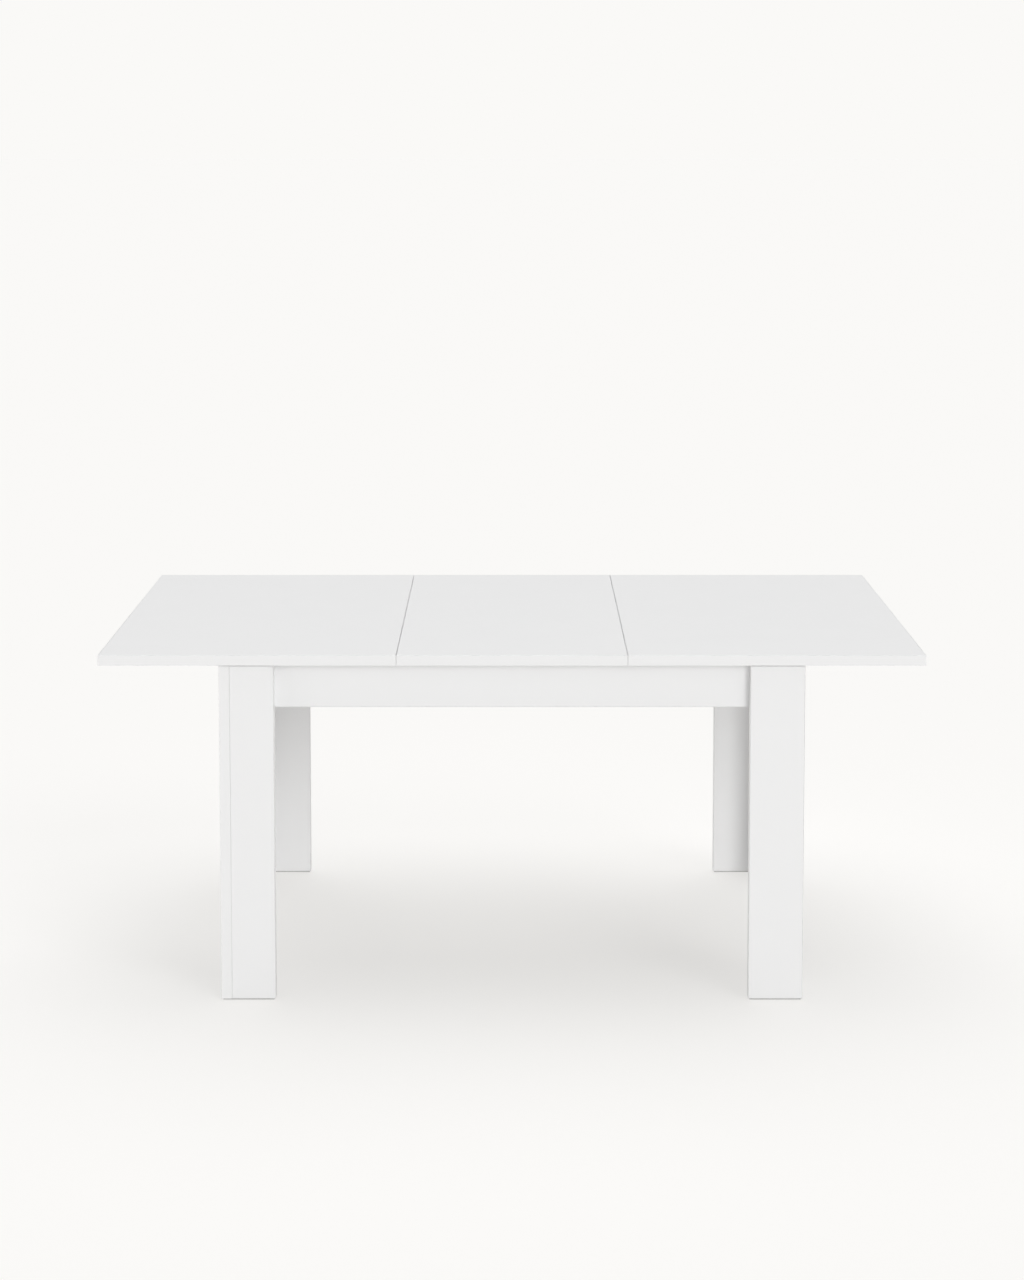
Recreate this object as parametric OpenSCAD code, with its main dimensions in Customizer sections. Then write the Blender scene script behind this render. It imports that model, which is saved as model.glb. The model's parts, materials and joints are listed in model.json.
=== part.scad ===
// Extending dining table: four L-section board legs, a rail frame, two sliding top halves
// and a lift-out insert leaf. Shown extended, with the insert in place.
// Axes: X along the top, Y front to back with the front at -Y, Z up, origin on the floor.

/* [Top] */
// Length of each sliding half of the top
leaf_length = 630; // [525:5:760]
// Length of the insert leaf
insert_length = 489; // [406:1:590]
// Depth of the top, front to back
table_depth = 900; // [750:10:1100]
// Height of the top surface above the floor
table_height = 750; // [625:5:900]
// Thickness of the top boards
top_thick = 22; // [18:1:28]
// Gap at each seam between two top boards
seam_gap = 0.5; // [0.3:0.1:2]
// How far the closed top reaches past the legs on every side
top_overhang = 9; // [4:1:30]
// Gap between the frame and the underside of the top
top_gap = 2.5; // [1:0.5:4]

/* [Legs] */
// Width of each leg, on both of its outer faces
leg_width = 116; // [97:1:150]
// Thickness of the leg boards
leg_board = 22; // [18:1:28]
// Dowels that join the two boards of each leg
leg_dowel_count = 5; // [3:1:7]
// Thickness of the glide strips under the legs
glide_height = 3; // [2:0.5:6]
// Width of the glide strips under the legs
glide_width = 16; // [10:1:18]

/* [Frame] */
// Height of the aprons
apron_height = 94; // [94:1:140]
// Thickness of the aprons and cross rails
apron_thick = 22; // [18:1:28]
// Width of the two cross rails, which also carry the stored insert
cross_rail_width = 90; // [80:2:140]
// Distance from the middle of the table to each cross rail
cross_rail_x = 250; // [150:5:350]
// How far the cross rails sit above the lower edge of the aprons
cross_rail_lift = 2; // [1:0.5:4]
// Size of the eased arrises on every board
edge_ease = 0.5; // [0.3:0.1:1.5]

/* [Runners] */
// Height of the runner channels
channel_height = 40; // [36:1:40]
// Depth of the runner channels, from the apron to their lips
channel_depth = 12; // [10:1:14]
// Thickness of the channel walls
channel_wall = 2; // [1.5:0.5:2.5]
// Height of the lips that hold the slide bars in
channel_lip = 6; // [4:1:8]
// Gap between each end of a channel and the inner face of the side apron
channel_end_gap = 12; // [8:1:20]
// Clearance between the cross rails and the channels
channel_clear = 3.5; // [2:0.5:8]
// Running clearance round the slide bars
slide_gap = 0.5; // [0.3:0.1:0.8]
// How far each half pulls outwards, to free the insert
release_travel = 20; // [10:1:40]
// Length of the rubber stops in the channel ends
stop_length = 8; // [5:1:12]
// Distance from a half's inner edge to the end of its slide bars
slide_inset = 10; // [5:1:20]
// Thickness of the battens and cleats under the top
batten_thick = 20; // [18:1:26]
// Height of the battens under the halves
batten_height = 62; // [60:1:66]
// Height of the cleats under the insert
cleat_height = 40; // [30:1:44]
// Gap between the channel lips and the battens
batten_gap = 2; // [1:0.5:4]

/* [Fittings] */
// Diameter of the leg bolts
bolt_d = 6; // [5:1:8]
// Length of thread sleeve in the leg boards
sleeve_length = 13; // [10:1:14]
// Distance from the edge of a leg to its bolts
bolt_edge = 14; // [12:1:20]
// Distance from the edges of the aprons to the leg bolts
bolt_margin = 12.5; // [11:0.5:14]
// Diameter of the cam locks
cam_d = 15; // [12:1:15]
// Distance from the joint to the middle of a cam lock
cam_setback = 34; // [30:1:40]
// Diameter of the wooden dowels
dowel_d = 8; // [6:1:8]
// Length of the wooden dowels
dowel_length = 32; // [28:1:36]
// Diameter of the wood screws
screw_d = 4; // [3.5:0.5:4.5]
// How far the screws reach into the top boards
screw_bite = 13; // [10:1:15]
// Diameter of the slide pads on top of the frame
pad_d = 14; // [10:1:16]

/* [Hidden] */
$fn = 40;
top_under = table_height - top_thick;
rail_top = top_under - top_gap;
rail_low = rail_top - apron_height;
rail_mid = (rail_top + rail_low) / 2;
seam_x = insert_length / 2 + seam_gap;

// Half sizes: of the frame over the legs, over the aprons, and inside the aprons
frame_x = leaf_length - top_overhang;
frame_y = table_depth / 2 - top_overhang;
outer_x = frame_x - leg_board;
outer_y = frame_y - leg_board;
inner_x = outer_x - apron_thick;
inner_y = outer_y - apron_thick;
side_mid_x = outer_x - apron_thick / 2;
long_mid_y = outer_y - apron_thick / 2;

// Fits, as gaps on the radius
shank_gap = 0.05;
bolt_gap = 0.25;

// Runners, heights first and then distances from the inner face of a long apron
cross_rail_low = rail_low + cross_rail_lift;
channel_low = cross_rail_low + apron_thick + channel_clear;
channel_mid = channel_low + channel_height / 2;
channel_half = inner_x - channel_end_gap;
bar_in = channel_wall + slide_gap;
bar_out = channel_depth - channel_wall - slide_gap;
batten_in = channel_depth + batten_gap;
batten_out = batten_in + batten_thick;
bar_start = seam_x + slide_inset;
bar_end = channel_half - stop_length - release_travel - slide_gap;
groove_height = 12;
groove_depth = 3;
lip_opening = channel_height - 2 * (channel_wall + channel_lip);

// Fittings
leg_low = glide_height;
leg_long = rail_top - leg_low;
bolt_levels = [rail_low + bolt_margin, rail_top - bolt_margin];
bolt_x = frame_x - leg_width + bolt_edge;
bolt_y = frame_y - leg_width + bolt_edge;
sleeve_wall = 1.5;
sleeve_d = bolt_d + 2 * (sleeve_wall + shank_gap);
washer_d = 16;
washer_thick = 1.5;
bolt_head_d = 12;
bolt_head_height = 4;
bolt_key = 4;
cam_margin = 20;
cam_levels = [rail_low + cam_margin, rail_top - cam_margin];
cam_past_middle = 4;
cam_depth = apron_thick / 2 + cam_past_middle;
cam_stud_d = 5;
cam_stud_bite = 11;
cam_bore_d = 8;
cam_head_d = 7;
cam_head_length = 5;
dowel_bite_share = 3 / 8;
frame_dowel_bite = dowel_length * dowel_bite_share;
rail_dowel_edge = 17;
rail_dowel_x = cross_rail_width / 2 - rail_dowel_edge;
screw_head_d = 8;
screw_head_height = 2.4;
screw_head_ease = 1;
screw_tip = 3;
screw_tip_d = 0.8;
screw_slot = 1;
screw_slot_depth = 1.2;
channel_screw_length = 16;
channel_screw_end = 25;
channel_screw_x = [-1, -0.5, 0, 0.5, 1] * (channel_half - channel_screw_end);
head_seat = 20;
cleat_seat = 10;
seat_gap = 0.5;
seat_d = screw_head_d + 2 * seat_gap;
batten_end = 25;
bar_screw_end = 70;
bar_screw_bite = 8;
cleat_inset = 4;
pad_stem_d = 6;
pad_stem_length = 10;
pad_inset = 45;
glide_inset = (leg_board - glide_width) / 2;
glide_inner = leg_board - glide_inset;
glide_end = leg_width - glide_inset;
cut = 1;

// Points that repeat
leaf_pad_in = seam_x + pad_inset;
leaf_pad_out = inner_x - pad_inset;
pad_x = [seam_x - pad_inset, leaf_pad_in, (leaf_pad_in + leaf_pad_out) / 2, leaf_pad_out];
pad_y = inner_y / 3;
batten_screw_x = [bar_start + batten_end, (bar_start + bar_end) / 2, bar_end - batten_end];
bar_screw_x = [bar_start + bar_screw_end, bar_end - bar_screw_end];
cleat_half = insert_length / 2 - cleat_inset;
cleat_screw_x = [-1, 0, 1] * (cleat_half - batten_end);
leg_corner = [[-1, -1], [1, -1], [1, 1], [-1, 1]];
leg_dowel_end = 60;
dowel_step = (leg_long - 2 * leg_dowel_end) / (leg_dowel_count - 1);
leg_dowel_z = [for (i = [0:leg_dowel_count - 1]) leg_low + leg_dowel_end + i * dowel_step];

// ---- Placing ----

// Leg 0 is front left, then 1, 2 and 3 anticlockwise seen from above. Children are drawn with
// the leg's outer corner at the origin and its two faces along +X and +Y.
module at_leg(number) {
    translate([leg_corner[number][0] * frame_x, leg_corner[number][1] * frame_y, 0])
        rotate([0, 0, 90 * number])
            children();
}

// Turns what is drawn for the right end or the back into the left end or the front
module end_of(side) {
    mirror([side < 0 ? 1 : 0, 0, 0])
        children();
}

module face_of(side) {
    mirror([0, side < 0 ? 1 : 0, 0])
        children();
}

module both_ends() {
    for (side = [-1, 1])
        end_of(side)
            children();
}

module both_faces() {
    for (side = [-1, 1])
        face_of(side)
            children();
}

// Turns +Z into -Y: the way a fitting enters from the back
module towards_front() {
    rotate([90, 0, 0])
        children();
}

module towards_back() {
    rotate([-90, 0, 0])
        children();
}

module towards_right() {
    rotate([0, 90, 0])
        children();
}

module towards_left() {
    rotate([0, -90, 0])
        children();
}

// ---- Shared shapes ----

module eased_outline(width, height) {
    polygon([
        [edge_ease, 0], [width - edge_ease, 0], [width, edge_ease], [width, height - edge_ease],
        [width - edge_ease, height], [edge_ease, height], [0, height - edge_ease], [0, edge_ease]
    ]);
}

// Board between two corners, with all of its arrises eased
module board(low, high) {
    size = high - low;
    translate(low)
        intersection() {
            linear_extrude(height = size[2])
                eased_outline(size[0], size[1]);
            translate([0, size[1], 0])
                rotate([90, 0, 0])
                    linear_extrude(height = size[1])
                        eased_outline(size[0], size[2]);
            rotate([90, 0, 90])
                linear_extrude(height = size[0])
                    eased_outline(size[1], size[2]);
        }
}

// Round hole that starts just outside the face at z = 0 and goes up
module drill(diameter, depth) {
    translate([0, 0, -cut])
        cylinder(d = diameter, h = depth + cut);
}

module shank_hole(diameter, depth) {
    drill(diameter + 2 * shank_gap, depth);
}

// Dowel along Z, with chamfered ends
module dowel(length) {
    chamfer = 1;
    cylinder(d1 = dowel_d - 2 * chamfer, d2 = dowel_d, h = chamfer);
    translate([0, 0, chamfer])
        cylinder(d = dowel_d, h = length - 2 * chamfer);
    translate([0, 0, length - chamfer])
        cylinder(d1 = dowel_d, d2 = dowel_d - 2 * chamfer, h = chamfer);
}

// Screw whose head sits on z = 0 and whose shank goes up
module pan_screw(length) {
    difference() {
        translate([0, 0, -screw_head_height])
            union() {
                cylinder(d1 = screw_head_d - 2 * screw_head_ease, d2 = screw_head_d, h = screw_head_ease);
                translate([0, 0, screw_head_ease])
                    cylinder(d = screw_head_d, h = screw_head_height - screw_head_ease);
            }
        for (turn = [0, 90])
            rotate([0, 0, turn])
                translate([-screw_head_d / 4, -screw_slot / 2, -screw_head_height - cut])
                    cube([screw_head_d / 2, screw_slot, cut + screw_slot_depth]);
    }
    cylinder(d = screw_d, h = length - screw_tip);
    translate([0, 0, length - screw_tip])
        cylinder(d1 = screw_d, d2 = screw_tip_d, h = screw_tip);
}

// ---- Legs ----

module at_bolt_levels() {
    for (level = bolt_levels)
        translate([0, 0, level])
            children();
}

// The board that runs the whole width of its face
module leg_full_board(number) {
    color("white")
        at_leg(number)
            difference() {
                board([0, 0, leg_low], [leg_board, leg_width, rail_top]);
                at_bolt_levels()
                    translate([leg_board, leg_width - bolt_edge, 0])
                        towards_left()
                            shank_hole(sleeve_d, sleeve_length);
                for (z = leg_dowel_z)
                    translate([leg_board, leg_board / 2, z])
                        towards_left()
                            shank_hole(dowel_d, frame_dowel_bite);
            }
}

// The board that butts against the full one
module leg_butted_board(number) {
    color("white")
        at_leg(number)
            difference() {
                board([leg_board, 0, leg_low], [leg_width, leg_board, rail_top]);
                at_bolt_levels()
                    translate([leg_width - bolt_edge, leg_board, 0])
                        towards_front()
                            shank_hole(sleeve_d, sleeve_length);
                for (z = leg_dowel_z)
                    translate([leg_board, leg_board / 2, z])
                        towards_right()
                            shank_hole(dowel_d, dowel_length - frame_dowel_bite);
            }
}

module front_left_leg_side_board() { leg_full_board(0); }
module front_left_leg_front_board() { leg_butted_board(0); }
module front_right_leg_front_board() { leg_full_board(1); }
module front_right_leg_side_board() { leg_butted_board(1); }
module back_right_leg_side_board() { leg_full_board(2); }
module back_right_leg_back_board() { leg_butted_board(2); }
module back_left_leg_back_board() { leg_full_board(3); }
module back_left_leg_side_board() { leg_butted_board(3); }

module leg_dowels() {
    color("burlywood")
        for (number = [0:3], z = leg_dowel_z)
            at_leg(number)
                translate([leg_board - frame_dowel_bite, leg_board / 2, z])
                    towards_right()
                        dowel(dowel_length);
}

// Two stuck-on strips under each leg, which meet under its corner
module glide_strips() {
    color("gray")
        for (number = [0:3])
            at_leg(number) {
                board([glide_inset, glide_inset, 0], [glide_inner, glide_end, glide_height]);
                board([glide_inner, glide_inset, 0], [glide_end, glide_inner, glide_height]);
            }
}

// ---- Rail frame ----

module pad_hole() {
    translate([0, 0, rail_top])
        mirror([0, 0, 1])
            shank_hole(pad_stem_d, pad_stem_length);
}

module long_apron_holes() {
    both_ends() {
        for (level = bolt_levels)
            translate([bolt_x, inner_y, level])
                towards_back()
                    drill(bolt_d + 2 * bolt_gap, apron_thick + cut);
        for (level = cam_levels)
            translate([side_mid_x, inner_y, level])
                towards_back()
                    shank_hole(cam_stud_d, cam_stud_bite);
        translate([side_mid_x, inner_y, rail_mid])
            towards_back()
                shank_hole(dowel_d, frame_dowel_bite);
        translate([cross_rail_x, inner_y, cross_rail_low + apron_thick / 2]) {
            towards_back()
                shank_hole(cam_stud_d, cam_stud_bite);
            for (side = [-1, 1])
                translate([side * rail_dowel_x, 0, 0])
                    towards_back()
                        shank_hole(dowel_d, frame_dowel_bite);
        }
        for (x = pad_x)
            translate([x, long_mid_y, 0])
                pad_hole();
    }
    for (x = channel_screw_x)
        translate([x, inner_y, channel_mid])
            towards_back()
                shank_hole(screw_d, channel_screw_length - channel_wall);
}

module long_apron(side) {
    color("white")
        face_of(side)
            difference() {
                board([-outer_x, inner_y, rail_low], [outer_x, outer_y, rail_top]);
                long_apron_holes();
            }
}

module side_apron(side) {
    color("white")
        end_of(side)
            difference() {
                board([inner_x, -inner_y, rail_low], [outer_x, inner_y, rail_top]);
                both_faces() {
                    for (level = bolt_levels)
                        translate([inner_x, bolt_y, level])
                            towards_right()
                                drill(bolt_d + 2 * bolt_gap, apron_thick + cut);
                    for (level = cam_levels) {
                        translate([inner_x, inner_y - cam_setback, level])
                            towards_right()
                                shank_hole(cam_d, cam_depth);
                        translate([side_mid_x, inner_y, level])
                            towards_front()
                                drill(cam_bore_d, cam_setback);
                    }
                    translate([side_mid_x, inner_y, rail_mid])
                        towards_front()
                            shank_hole(dowel_d, dowel_length - frame_dowel_bite);
                    translate([side_mid_x, pad_y, 0])
                        pad_hole();
                }
            }
}

module front_apron() { long_apron(-1); }
module back_apron() { long_apron(1); }
module left_apron() { side_apron(-1); }
module right_apron() { side_apron(1); }

module cross_rail(side) {
    low = [cross_rail_x - cross_rail_width / 2, -inner_y, cross_rail_low];
    high = [cross_rail_x + cross_rail_width / 2, inner_y, cross_rail_low + apron_thick];
    color("white")
        end_of(side)
            difference() {
                board(low, high);
                both_faces() {
                    translate([cross_rail_x, inner_y - cam_setback, cross_rail_low])
                        shank_hole(cam_d, cam_depth);
                    translate([cross_rail_x, inner_y, cross_rail_low + apron_thick / 2]) {
                        towards_front()
                            drill(cam_bore_d, cam_setback);
                        for (place = [-1, 1])
                            translate([place * rail_dowel_x, 0, 0])
                                towards_front()
                                    shank_hole(dowel_d, dowel_length - frame_dowel_bite);
                    }
                }
            }
}

module left_cross_rail() { cross_rail(-1); }
module right_cross_rail() { cross_rail(1); }

// ---- Frame fittings ----

// Calls its children at each place where a cam lock pulls a rail against a long apron,
// with the long apron's inner face at the origin and the rail running along -Y
module at_cam_joints() {
    both_faces()
        both_ends() {
            for (level = cam_levels)
                translate([side_mid_x, inner_y, level])
                    children(0);
            translate([cross_rail_x, inner_y, cross_rail_low + apron_thick / 2])
                children(1);
        }
}

// Cam with its face at z = 0, its body going up, and the mouth for the bolt on its +Y side
module cam_lock() {
    slot_width = 1.6;
    slot_length = 10;
    slot_depth = 1.5;
    difference() {
        cylinder(d = cam_d, h = cam_depth - shank_gap);
        translate([0, -cam_head_length / 2, apron_thick / 2])
            towards_back()
                cylinder(d = cam_bore_d, h = cam_d);
        for (turn = [45, 135])
            rotate([0, 0, turn])
                translate([-slot_length / 2, -slot_width / 2, -cut])
                    cube([slot_length, slot_width, slot_depth + cut]);
    }
}

module cam_locks() {
    color("silver")
        at_cam_joints() {
            translate([-apron_thick / 2, -cam_setback, 0])
                towards_right()
                    cam_lock();
            translate([0, -cam_setback, -apron_thick / 2])
                cam_lock();
        }
}

// Cam bolt along -Y, with its thread in the long apron
module cam_bolt() {
    shaft = cam_setback - cam_head_length / 2;
    collar = 1.5;
    translate([0, cam_stud_bite, 0])
        towards_front()
            cylinder(d = cam_stud_d, h = cam_stud_bite + shaft);
    translate([0, -shaft + cam_head_length / 2, 0])
        towards_front()
            cylinder(d = cam_head_d, h = cam_head_length / 2);
    towards_front()
        cylinder(d = cam_head_d, h = collar);
}

module cam_bolts() {
    color("gainsboro")
        at_cam_joints() {
            cam_bolt();
            cam_bolt();
        }
}

module frame_dowels() {
    color("burlywood")
        both_faces()
            both_ends() {
                translate([side_mid_x, inner_y + frame_dowel_bite, rail_mid])
                    towards_front()
                        dowel(dowel_length);
                for (place = [-1, 1])
                    translate([
                        cross_rail_x + place * rail_dowel_x,
                        inner_y + frame_dowel_bite,
                        cross_rail_low + apron_thick / 2
                    ])
                        towards_front()
                            dowel(dowel_length);
            }
}

// Calls its children at every leg bolt, with the apron's inner face at z = 0 and +Z outwards
module at_leg_bolts() {
    both_faces()
        both_ends()
            for (level = bolt_levels) {
                translate([bolt_x, inner_y, level])
                    towards_back()
                        children();
                translate([inner_x, bolt_y, level])
                    towards_right()
                        children();
            }
}

module leg_bolts() {
    end_gap = 1;
    reach = washer_thick + apron_thick + sleeve_length - end_gap;
    color("gainsboro")
        at_leg_bolts()
            translate([0, 0, -washer_thick])
                union() {
                    difference() {
                        translate([0, 0, -bolt_head_height])
                            cylinder(d = bolt_head_d, h = bolt_head_height);
                        translate([0, 0, -bolt_head_height - cut])
                            cylinder(d = bolt_key, h = cut + bolt_head_height / 2, $fn = 6);
                    }
                    cylinder(d = bolt_d, h = reach);
                }
}

module leg_bolt_washers() {
    color("silver")
        at_leg_bolts()
            difference() {
                translate([0, 0, -washer_thick])
                    cylinder(d = washer_d, h = washer_thick);
                translate([0, 0, -washer_thick])
                    drill(bolt_d + 2 * bolt_gap, washer_thick + cut);
            }
}

module leg_threaded_sleeves() {
    color("goldenrod")
        at_leg_bolts()
            translate([0, 0, apron_thick])
                difference() {
                    cylinder(d = sleeve_d, h = sleeve_length);
                    shank_hole(bolt_d, sleeve_length + cut);
                }
}

// ---- Runners ----

// Draws children in (distance from the apron, height) and runs them along X
module along_apron(from, to) {
    translate([from, inner_y, 0])
        rotate([90, 0, 90])
            linear_extrude(height = to - from)
                mirror([1, 0, 0])
                    children();
}

module channel_outline() {
    wall = channel_wall;
    depth = channel_depth;
    high = channel_low + channel_height;
    lip = wall + channel_lip;
    polygon([
        [0, channel_low], [depth, channel_low], [depth, channel_low + lip],
        [depth - wall, channel_low + lip], [depth - wall, channel_low + wall],
        [wall, channel_low + wall], [wall, high - wall], [depth - wall, high - wall],
        [depth - wall, high - lip], [depth, high - lip], [depth, high], [0, high]
    ]);
}

module runner_channel(side) {
    color("lightgray")
        face_of(side)
            difference() {
                along_apron(-channel_half, channel_half)
                    channel_outline();
                for (x = channel_screw_x)
                    translate([x, inner_y - channel_wall, channel_mid])
                        towards_back()
                            shank_hole(screw_d, channel_wall + cut);
            }
}

module front_runner_channel() { runner_channel(-1); }
module back_runner_channel() { runner_channel(1); }

module channel_screws() {
    color("gainsboro")
        both_faces()
            for (x = channel_screw_x)
                translate([x, inner_y - channel_wall, channel_mid])
                    towards_back()
                        pan_screw(channel_screw_length);
}

module runner_stops() {
    color("dimgray")
        both_faces()
            both_ends()
                along_apron(channel_half - stop_length, channel_half)
                    translate([channel_wall, channel_low + channel_wall])
                        square([channel_depth - 2 * channel_wall, channel_height - 2 * channel_wall]);
}

// Slide bar: held behind the lips, with a groove that clears the screw heads
module slide_bar_outline() {
    body = channel_height / 2 - channel_wall - slide_gap;
    neck = lip_opening / 2 - slide_gap;
    groove = groove_height / 2;
    translate([0, channel_mid])
        polygon([
            [bar_in, -body], [bar_out, -body], [bar_out, -neck], [batten_in, -neck],
            [batten_in, neck], [bar_out, neck], [bar_out, body], [bar_in, body],
            [bar_in, groove], [bar_in + groove_depth, groove],
            [bar_in + groove_depth, -groove], [bar_in, -groove]
        ]);
}

module slide_bar(end, face) {
    color("whitesmoke")
        end_of(end)
            face_of(face)
                difference() {
                    along_apron(bar_start, bar_end)
                        slide_bar_outline();
                    for (x = bar_screw_x)
                        translate([x, inner_y - batten_in, channel_mid])
                            towards_back()
                                shank_hole(screw_d, bar_screw_bite);
                }
}

module slide_pads() {
    color("whitesmoke")
        both_faces()
            both_ends() {
                for (x = pad_x)
                    translate([x, long_mid_y, rail_top])
                        slide_pad();
                translate([side_mid_x, pad_y, rail_top])
                    slide_pad();
            }
}

// Push-in pad: a thin disc that the top slides on, and a stem
module slide_pad() {
    cylinder(d = pad_d, h = top_gap);
    translate([0, 0, -pad_stem_length])
        cylinder(d = pad_stem_d, h = pad_stem_length);
}

// ---- Sliding halves ----

module batten_screw_holes(points) {
    for (x = points)
        both_faces()
            translate([x, inner_y - batten_in - batten_thick / 2, top_under])
                shank_hole(screw_d, screw_bite);
}

module top_half(end) {
    color("white")
        end_of(end)
            difference() {
                board(
                    [seam_x, -table_depth / 2, top_under],
                    [seam_x + leaf_length, table_depth / 2, table_height]
                );
                batten_screw_holes(batten_screw_x);
            }
}

// Batten under the top: seated screws go up through it
module batten(from, to, height, seat, points) {
    low = top_under - height;
    difference() {
        board([from, inner_y - batten_out, low], [to, inner_y - batten_in, top_under]);
        for (x = points)
            translate([x, inner_y - batten_in - batten_thick / 2, low]) {
                drill(seat_d, seat);
                shank_hole(screw_d, height + cut);
            }
    }
}

module half_batten(end, face) {
    color("burlywood")
        end_of(end)
            face_of(face)
                difference() {
                    batten(bar_start, bar_end, batten_height, head_seat, batten_screw_x);
                    for (x = bar_screw_x)
                        translate([x, inner_y - batten_out, channel_mid])
                            towards_back()
                                shank_hole(screw_d, batten_thick + cut);
                }
}

module seated_screws(points, height, seat) {
    for (x = points)
        both_faces()
            translate([x, inner_y - batten_in - batten_thick / 2, top_under - height + seat])
                pan_screw(height - seat + screw_bite);
}

module half_batten_screws(end) {
    color("gainsboro")
        end_of(end)
            seated_screws(batten_screw_x, batten_height, head_seat);
}

module slide_bar_screws(end) {
    color("gainsboro")
        end_of(end)
            both_faces()
                for (x = bar_screw_x)
                    translate([x, inner_y - batten_out, channel_mid])
                        towards_back()
                            pan_screw(batten_thick + bar_screw_bite);
}

module left_top_half() { top_half(-1); }
module left_front_batten() { half_batten(-1, -1); }
module left_back_batten() { half_batten(-1, 1); }
module left_front_slide_bar() { slide_bar(-1, -1); }
module left_back_slide_bar() { slide_bar(-1, 1); }
module left_batten_screws() { half_batten_screws(-1); }
module left_slide_bar_screws() { slide_bar_screws(-1); }
module right_top_half() { top_half(1); }
module right_front_batten() { half_batten(1, -1); }
module right_back_batten() { half_batten(1, 1); }
module right_front_slide_bar() { slide_bar(1, -1); }
module right_back_slide_bar() { slide_bar(1, 1); }
module right_batten_screws() { half_batten_screws(1); }
module right_slide_bar_screws() { slide_bar_screws(1); }

// ---- Insert ----

module insert_leaf() {
    color("white")
        difference() {
            board(
                [-insert_length / 2, -table_depth / 2, top_under],
                [insert_length / 2, table_depth / 2, table_height]
            );
            batten_screw_holes(cleat_screw_x);
        }
}

module insert_cleat(face) {
    color("burlywood")
        face_of(face)
            batten(-cleat_half, cleat_half, cleat_height, cleat_seat, cleat_screw_x);
}

module insert_front_cleat() { insert_cleat(-1); }
module insert_back_cleat() { insert_cleat(1); }

module insert_cleat_screws() {
    color("gainsboro")
        seated_screws(cleat_screw_x, cleat_height, cleat_seat);
}

front_left_leg_side_board();
front_left_leg_front_board();
front_right_leg_front_board();
front_right_leg_side_board();
back_right_leg_side_board();
back_right_leg_back_board();
back_left_leg_back_board();
back_left_leg_side_board();
leg_dowels();
glide_strips();
front_apron();
back_apron();
left_apron();
right_apron();
left_cross_rail();
right_cross_rail();
frame_dowels();
cam_locks();
cam_bolts();
leg_bolts();
leg_bolt_washers();
leg_threaded_sleeves();
front_runner_channel();
back_runner_channel();
channel_screws();
runner_stops();
slide_pads();
left_top_half();
left_front_batten();
left_back_batten();
left_front_slide_bar();
left_back_slide_bar();
left_batten_screws();
left_slide_bar_screws();
right_top_half();
right_front_batten();
right_back_batten();
right_front_slide_bar();
right_back_slide_bar();
right_batten_screws();
right_slide_bar_screws();
insert_leaf();
insert_front_cleat();
insert_back_cleat();
insert_cleat_screws();
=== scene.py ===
import json
import math

import bmesh
import bpy
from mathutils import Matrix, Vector


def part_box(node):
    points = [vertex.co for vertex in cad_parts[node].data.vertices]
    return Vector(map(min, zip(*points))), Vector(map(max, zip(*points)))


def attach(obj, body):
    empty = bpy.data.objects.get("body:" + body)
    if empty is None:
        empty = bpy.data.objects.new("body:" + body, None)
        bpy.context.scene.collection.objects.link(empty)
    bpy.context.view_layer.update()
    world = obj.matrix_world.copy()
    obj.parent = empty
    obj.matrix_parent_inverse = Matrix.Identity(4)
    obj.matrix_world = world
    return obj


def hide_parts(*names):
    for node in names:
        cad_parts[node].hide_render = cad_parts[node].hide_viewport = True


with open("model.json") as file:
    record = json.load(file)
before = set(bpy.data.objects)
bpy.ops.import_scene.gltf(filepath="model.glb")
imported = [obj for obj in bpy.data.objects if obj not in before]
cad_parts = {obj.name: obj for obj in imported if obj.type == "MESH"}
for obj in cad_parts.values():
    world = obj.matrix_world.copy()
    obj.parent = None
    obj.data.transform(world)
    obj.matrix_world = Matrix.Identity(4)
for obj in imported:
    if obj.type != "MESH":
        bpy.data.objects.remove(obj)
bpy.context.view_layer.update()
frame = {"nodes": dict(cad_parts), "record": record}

nodes = frame["nodes"]
mm = 0.001
bodyOf = {}
for body, members in frame["record"]["behaviour"]["bodies"].items():
    for node in members:
        bodyOf[node] = body
print("frame loaded:", len(nodes), "nodes")


# Shader helpers

def makeMaterial(name):
    material = bpy.data.materials.new(name)
    material.use_nodes = True
    return material


def addNode(material, kind, **inputs):
    node = material.node_tree.nodes.new("ShaderNode" + kind)
    for socket, value in inputs.items():
        node.inputs[socket].default_value = value
    return node


def join(material, output, target):
    material.node_tree.links.new(output, target)


def shaderOf(material):
    return material.node_tree.nodes["Principled BSDF"]


def objectPoint(material, stretch=(1, 1, 1)):
    # Object coordinates; a stretch below 1 draws the pattern out along that axis
    coordinates = addNode(material, "TexCoord")
    mapping = addNode(material, "Mapping", Scale=stretch)
    join(material, coordinates.outputs["Object"], mapping.inputs["Vector"])
    return mapping.outputs["Vector"]


def noiseOf(material, point, scale, detail=3, roughness=0.5):
    noise = addNode(material, "TexNoise", Scale=scale, Detail=detail, Roughness=roughness)
    join(material, point, noise.inputs["Vector"])
    return noise.outputs["Fac"]


def rampOf(material, value, stops):
    ramp = addNode(material, "ValToRGB")
    elements = ramp.color_ramp.elements
    while len(elements) < len(stops):
        elements.new(0.5)   # its place is set below
    for element, (place, colour) in zip(elements, stops):
        element.position = place
        element.color = (*colour, 1)
    join(material, value, ramp.inputs["Fac"])
    return ramp.outputs["Color"]


noiseLow, noiseHigh = 0.3, 0.7   # nearly all of a noise lies between these


def spread(material, value, low, high):
    # Takes a noise to the range from low to high
    span = addNode(material, "MapRange")
    span.inputs["From Min"].default_value = noiseLow
    span.inputs["From Max"].default_value = noiseHigh
    span.inputs["To Min"].default_value = low
    span.inputs["To Max"].default_value = high
    join(material, value, span.inputs["Value"])
    return span.outputs["Result"]


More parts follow.
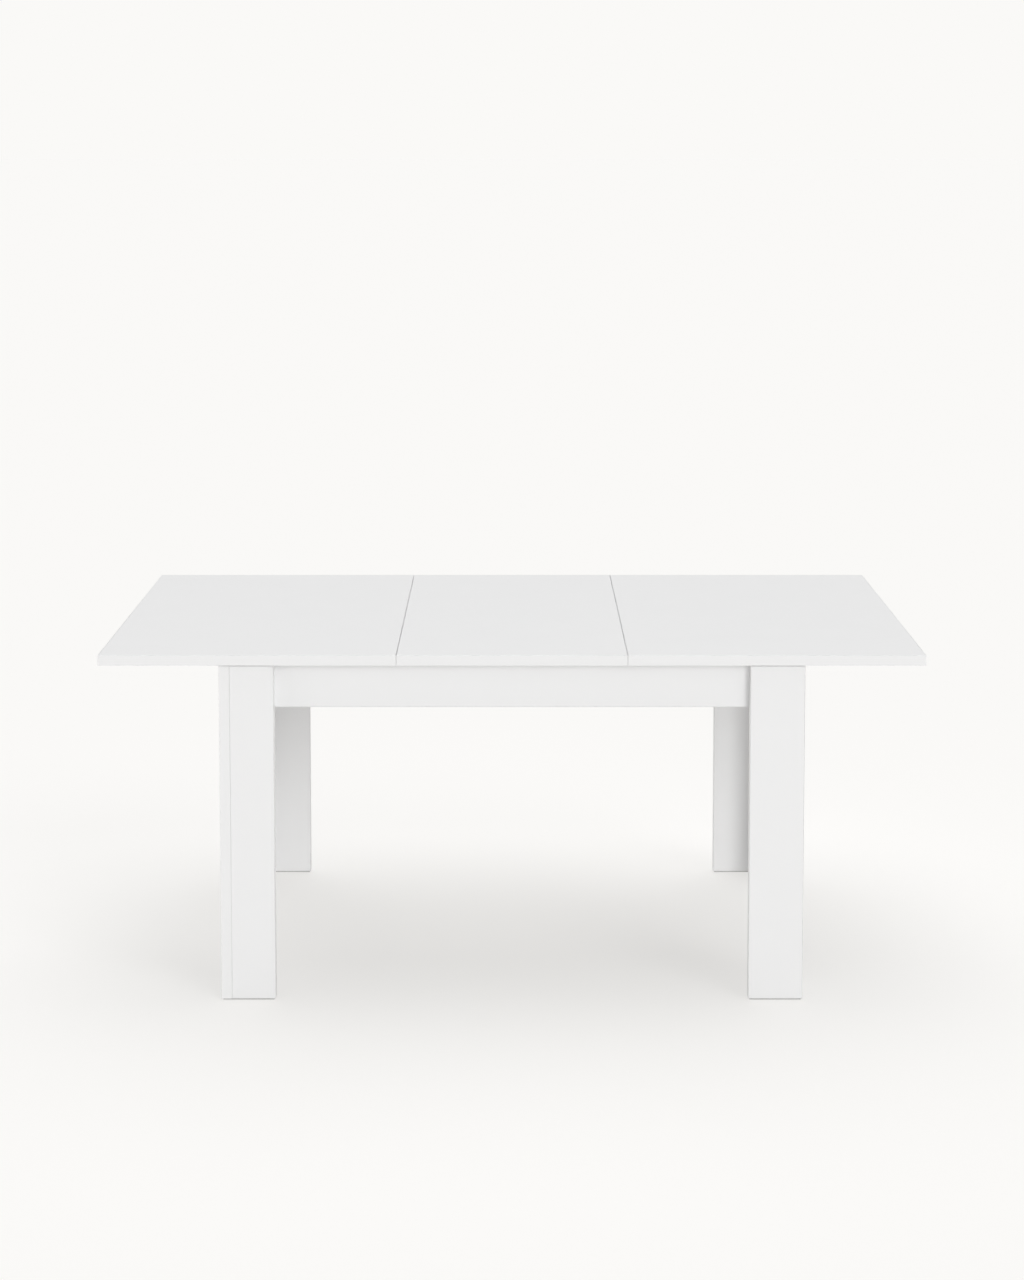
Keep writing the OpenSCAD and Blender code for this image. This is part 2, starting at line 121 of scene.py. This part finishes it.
def bumpFrom(material, layers):
    # Each layer is (height output, strength, depth in metres); one rides on the next
    normal = None
    for height, strength, depth in layers:
        bump = addNode(material, "Bump", Strength=strength, Distance=depth)
        join(material, height, bump.inputs["Height"])
        if normal:
            join(material, normal, bump.inputs["Normal"])
        normal = bump.outputs["Normal"]
    join(material, normal, shaderOf(material).inputs["Normal"])


def mottle(material, value, tone, change):
    # A tone that goes a little darker and lighter with a noise
    darker = tuple(channel - change for channel in tone)
    lighter = tuple(channel + change for channel in tone)
    colour = rampOf(material, value, [(noiseLow, darker), (noiseHigh, lighter)])
    join(material, colour, shaderOf(material).inputs["Base Color"])


def vary(material, value, middle, change):
    # A roughness that goes up and down with a noise
    roughness = spread(material, value, middle - change, middle + change)
    join(material, roughness, shaderOf(material).inputs["Roughness"])


def multiplied(material, colour, factor):
    mix = addNode(material, "Mix", Factor=1.0)
    mix.data_type = "RGBA"
    mix.blend_type = "MULTIPLY"
    join(material, colour, mix.inputs[6])   # the colour sockets, A and B, and the colour result
    join(material, factor, mix.inputs[7])
    return mix.outputs[2]


# Materials

def melamine(name, tone, roughness, pearl):
    # Coated chipboard: a fine pearl grain pressed into a satin film, and a slow unevenness of tone
    material = makeMaterial(name)
    point = objectPoint(material)
    mottle(material, noiseOf(material, point, 9, detail=4), tone, 0.003)
    vary(material, noiseOf(material, point, 60, detail=2), roughness, 0.03)
    bumpFrom(material, [
        (noiseOf(material, point, 14, detail=0), 0.15, 0.02 * mm),
        (noiseOf(material, point, 900, detail=2), pearl, 0.02 * mm),
    ])
    shaderOf(material).inputs["Specular IOR Level"].default_value = 0.3
    return material


def beechWood():
    # Waxed beech, with its grain along the battens and short dark flecks
    material = makeMaterial("waxed beech")
    point = objectPoint(material, stretch=(0.06, 1, 1))
    bands = noiseOf(material, point, 160, detail=6, roughness=0.6)
    colour = rampOf(material, bands, [
        (0.25, (0.43, 0.27, 0.15)),
        (0.5, (0.58, 0.40, 0.24)),
        (0.75, (0.66, 0.48, 0.31)),
    ])
    flecks = noiseOf(material, objectPoint(material, stretch=(0.12, 1, 1)), 1100, detail=1)
    flecked = multiplied(material, colour, spread(material, flecks, 0.82, 1.08))
    join(material, flecked, shaderOf(material).inputs["Base Color"])
    vary(material, bands, 0.50, 0.08)
    bumpFrom(material, [(bands, 0.3, 0.05 * mm), (flecks, 0.3, 0.03 * mm)])
    return material


def plastic(name, tone, roughness, grain):
    # Moulded plastic with a fine spark-eroded texture
    material = makeMaterial(name)
    point = objectPoint(material)
    tones = noiseOf(material, point, 70)
    mottle(material, tones, tone, 0.012)
    vary(material, tones, roughness, 0.05)
    bumpFrom(material, [(noiseOf(material, point, 2200, detail=1), grain, 0.02 * mm)])
    return material


def metal(name, tone, roughness, stretch, marks):
    # Metal with fine marks drawn out along one axis, and cloudy changes of gloss
    material = makeMaterial(name)
    shaderOf(material).inputs["Metallic"].default_value = 1.0
    cloud = noiseOf(material, objectPoint(material), 90)
    mottle(material, cloud, tone, 0.02)
    vary(material, cloud, roughness, 0.06)
    lines = noiseOf(material, objectPoint(material, stretch), 2600, detail=2)
    bumpFrom(material, [(lines, marks, 0.01 * mm)])
    return material


whites = {
    "top": {"tone": (0.80, 0.80, 0.80), "roughness": 0.42, "pearl": 0.10},
    "boards": {"tone": (0.799, 0.80, 0.803), "roughness": 0.46, "pearl": 0.12},
    "band": {"tone": (0.799, 0.80, 0.802), "roughness": 0.36, "pearl": 0.05},
}
plastics = {
    "nylon": {"tone": (0.72, 0.71, 0.66), "roughness": 0.40, "grain": 0.15},
    # The glide plastic is partly painted shade: its dark grey also stands in for the contact shade under
    # each leg, which the glowing floor leaves out
    "glide": {"tone": (0.42, 0.42, 0.41), "roughness": 0.48, "grain": 0.25},
    "rubber": {"tone": (0.025, 0.025, 0.025), "roughness": 0.75, "grain": 0.40},
}
metals = {
    "aluminium": {"tone": (0.80, 0.81, 0.82), "roughness": 0.34, "stretch": (0.01, 1, 1), "marks": 0.35},
    "zinc": {"tone": (0.72, 0.73, 0.75), "roughness": 0.28, "stretch": (1, 1, 1), "marks": 0.15},
    "brass": {"tone": (0.74, 0.57, 0.28), "roughness": 0.30, "stretch": (1, 1, 1), "marks": 0.20},
}
topFilm = melamine("satin white top film", **whites["top"])
boardFilm = melamine("satin white board film", **whites["boards"])
bandFilm = melamine("white edge band", **whites["band"])

slotFinish = {
    "top_board": topFilm,
    "white_board": boardFilm,
    "beech": beechWood(),
    "nylon": plastic("natural nylon", **plastics["nylon"]),
    # Foot strips under the legs: real grey plastic whose dark tone is also painted contact shade
    "glide_plastic": plastic("grey glide plastic", **plastics["glide"]),
    "stop_rubber": plastic("black stop rubber", **plastics["rubber"]),
    "channel_aluminium": metal("drawn aluminium", **metals["aluminium"]),
    "zinc_steel": metal("bright zinc plate", **metals["zinc"]),
    "sleeve_brass": metal("turned brass", **metals["brass"]),
}
slotOf = {part["node"]: part["material_slot"] for part in frame["record"]["subparts"]}
for node, piece in nodes.items():
    piece.data.materials.clear()
    piece.data.materials.append(slotFinish[slotOf[node]])
finishes = [*slotFinish.values(), bandFilm]
print("materials made:", len(finishes))


# Boards: a coated panel with a glued edge band round it, each with softly rounded arrises

def newPiece(name, mesh, node, material):
    data = bpy.data.meshes.new(name)
    mesh.to_mesh(data)
    mesh.free()
    piece = bpy.data.objects.new(name, data)
    bpy.context.scene.collection.objects.link(piece)
    data.materials.append(material)
    even = piece.modifiers.new("flat faces stay flat", "WEIGHTED_NORMAL")
    even.weight = 100   # the largest faces alone set the normals
    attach(piece, bodyOf[node])
    return piece


def blockMesh(low, high):
    mesh = bmesh.new()
    bmesh.ops.create_cube(mesh, size=1)
    bmesh.ops.scale(mesh, vec=high - low, verts=mesh.verts)
    bmesh.ops.translate(mesh, vec=(low + high) / 2, verts=mesh.verts)
    return mesh


def roundEdges(mesh, edges, radius, segments):
    bmesh.ops.bevel(
        mesh, geom=list(edges), offset=radius, offset_type="OFFSET", segments=segments,
        profile=0.5, affect="EDGES", material=-1, clamp_overlap=True,
    )


def smoothFaces(mesh):
    for face in mesh.faces:
        face.smooth = True


def panelMesh(low, high, radius):
    mesh = blockMesh(low, high)
    roundEdges(mesh, mesh.edges, radius, 2)
    smoothFaces(mesh)
    return mesh


def bandMesh(low, high, flat, thickness, radius):
    # A rectangular ring round the panel: its hole runs along the flat axis
    mesh = blockMesh(low, high)
    faces = [face for face in mesh.faces if abs(face.normal[flat]) > 0.5]
    corners = set(mesh.verts)
    bmesh.ops.inset_individual(mesh, faces=faces, thickness=thickness, use_even_offset=True)
    outer = [edge for edge in mesh.edges if corners.issuperset(edge.verts)]
    bmesh.ops.delete(mesh, geom=faces, context="FACES")
    bmesh.ops.bridge_loops(mesh, edges=[edge for edge in mesh.edges if edge.is_boundary])
    roundEdges(mesh, outer, radius, 3)
    bmesh.ops.recalc_face_normals(mesh, faces=mesh.faces)
    smoothFaces(mesh)
    return mesh


boards = {
    "bandThickness": 1.0 * mm,
    "glueLine": 0.08 * mm,
    "arris": 0.5 * mm,
    "panelArris": 0.12 * mm,
    "bandedAprons": ["front_apron", "back_apron"],
}


def bandedBoard(node, settings, film):
    low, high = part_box(node)
    size = high - low
    flat = min(range(3), key=lambda axis: size[axis])   # the axis across the board's thickness
    band = settings["bandThickness"]
    inner = Vector([band + settings["glueLine"]] * 3)
    inner[flat] = 0
    panelShape = panelMesh(low + inner, high - inner, settings["panelArris"])
    bandShape = bandMesh(low, high, flat, band, settings["arris"])
    panel = newPiece(node + ".panel", panelShape, node, film)
    newPiece(node + ".band", bandShape, node, bandFilm)
    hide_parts(node)


bandedNodes = [node for node in nodes if slotOf[node] == "top_board" or "_leg_" in node]
bandedNodes += boards["bandedAprons"]
for node in bandedNodes:
    bandedBoard(node, boards, topFilm if slotOf[node] == "top_board" else boardFilm)
print("boards made:", len(bandedNodes))


# Floor, light and camera

studio = {
    "floorHalf": 200,
    "floorTone": (0.429, 0.425, 0.417),
    "floorGlow": (0.533, 0.528, 0.519),
    "backdropTone": (0.956, 0.947, 0.930),
    "skyLight": 0.18,
    # Strength, then degrees: size across, turn from the front towards the right, height above the horizon
    "lights": {
        "overhead": (0.26, 45, 0, 90),
        "wide overhead": (2.03, 75, 180, 75),
        "side streak": (0.45, 28, 40, 42),
        "front key": (1.22, 30, 19, 18),
        "left fill": (0.36, 30, -70, 14),
    },
    "tableOnly": ["front key", "left fill"],
}


def paleFloor(settings):
    mesh = bmesh.new()
    bmesh.ops.create_grid(mesh, x_segments=1, y_segments=1, size=settings["floorHalf"])
    data = bpy.data.meshes.new("pale floor")
    mesh.to_mesh(data)
    mesh.free()
    floor = bpy.data.objects.new("pale floor", data)
    bpy.context.scene.collection.objects.link(floor)
    material = makeMaterial("pale floor paint")
    shader = shaderOf(material)
    shader.inputs["Base Color"].default_value = (*settings["floorTone"], 1)
    shader.inputs["Emission Color"].default_value = (*settings["floorGlow"], 1)
    shader.inputs["Emission Strength"].default_value = 1.0
    shader.inputs["Roughness"].default_value = 1.0
    shader.inputs["Specular IOR Level"].default_value = 0.0
    data.materials.append(material)
    return floor


def paleSky(settings):
    # The backdrop is as bright as the floor to the eye, and gives a weaker light from all round
    world = bpy.data.worlds.new("pale studio")
    bpy.context.scene.world = world
    world.use_nodes = True
    tree = world.node_tree
    seen = tree.nodes["Background"]
    seen.inputs["Color"].default_value = (*settings["backdropTone"], 1)
    giving = tree.nodes.new("ShaderNodeBackground")
    giving.inputs["Color"].default_value = (1, 1, 1, 1)
    giving.inputs["Strength"].default_value = settings["skyLight"]
    path = tree.nodes.new("ShaderNodeLightPath")
    mix = tree.nodes.new("ShaderNodeMixShader")
    tree.links.new(path.outputs["Is Camera Ray"], mix.inputs[0])
    tree.links.new(giving.outputs[0], mix.inputs[1])
    tree.links.new(seen.outputs[0], mix.inputs[2])
    tree.links.new(mix.outputs[0], tree.nodes["World Output"].inputs["Surface"])


def sunLight(name, strength, across, turn, height):
    light = bpy.data.lights.new(name, "SUN")
    light.energy = strength
    light.angle = math.radians(across)
    lamp = bpy.data.objects.new(name, light)
    bpy.context.scene.collection.objects.link(lamp)
    turn, height = math.radians(turn), math.radians(height)
    level = math.cos(height)
    towards = Vector((math.sin(turn) * level, -math.cos(turn) * level, math.sin(height)))
    lamp.rotation_mode = "QUATERNION"
    lamp.rotation_quaternion = towards.to_track_quat("Z", "Y")
    return lamp


def keepOffFloor(lamp, floor):
    # The lamp lights the table and leaves the floor as it is
    unlit = bpy.data.collections.new("not lit by the " + lamp.name)
    unlit.objects.link(floor)
    unlit.collection_objects[0].light_linking.link_state = "EXCLUDE"
    lamp.light_linking.receiver_collection = unlit


viewpoint = {
    "place": (0, -5.238, 1.837),
    "tilt": 4.50,   # degrees below level
    "lens": 64.75,
    "sensor": 36,
    "rise": -0.25,
}


def placeCamera(settings):
    data = bpy.data.cameras.new("studio camera")
    data.lens = settings["lens"]
    data.sensor_width = settings["sensor"]
    data.shift_y = settings["rise"]
    camera = bpy.data.objects.new("studio camera", data)
    bpy.context.scene.collection.objects.link(camera)
    camera.location = settings["place"]
    camera.rotation_euler = (math.pi / 2 - math.radians(settings["tilt"]), 0, 0)
    bpy.context.scene.camera = camera


bpy.context.scene.view_settings.view_transform = "Standard"
floor = paleFloor(studio)
paleSky(studio)
for name, values in studio["lights"].items():
    lamp = sunLight(name, *values)
    if name in studio["tableOnly"]:
        keepOffFloor(lamp, floor)
placeCamera(viewpoint)
print("studio set")
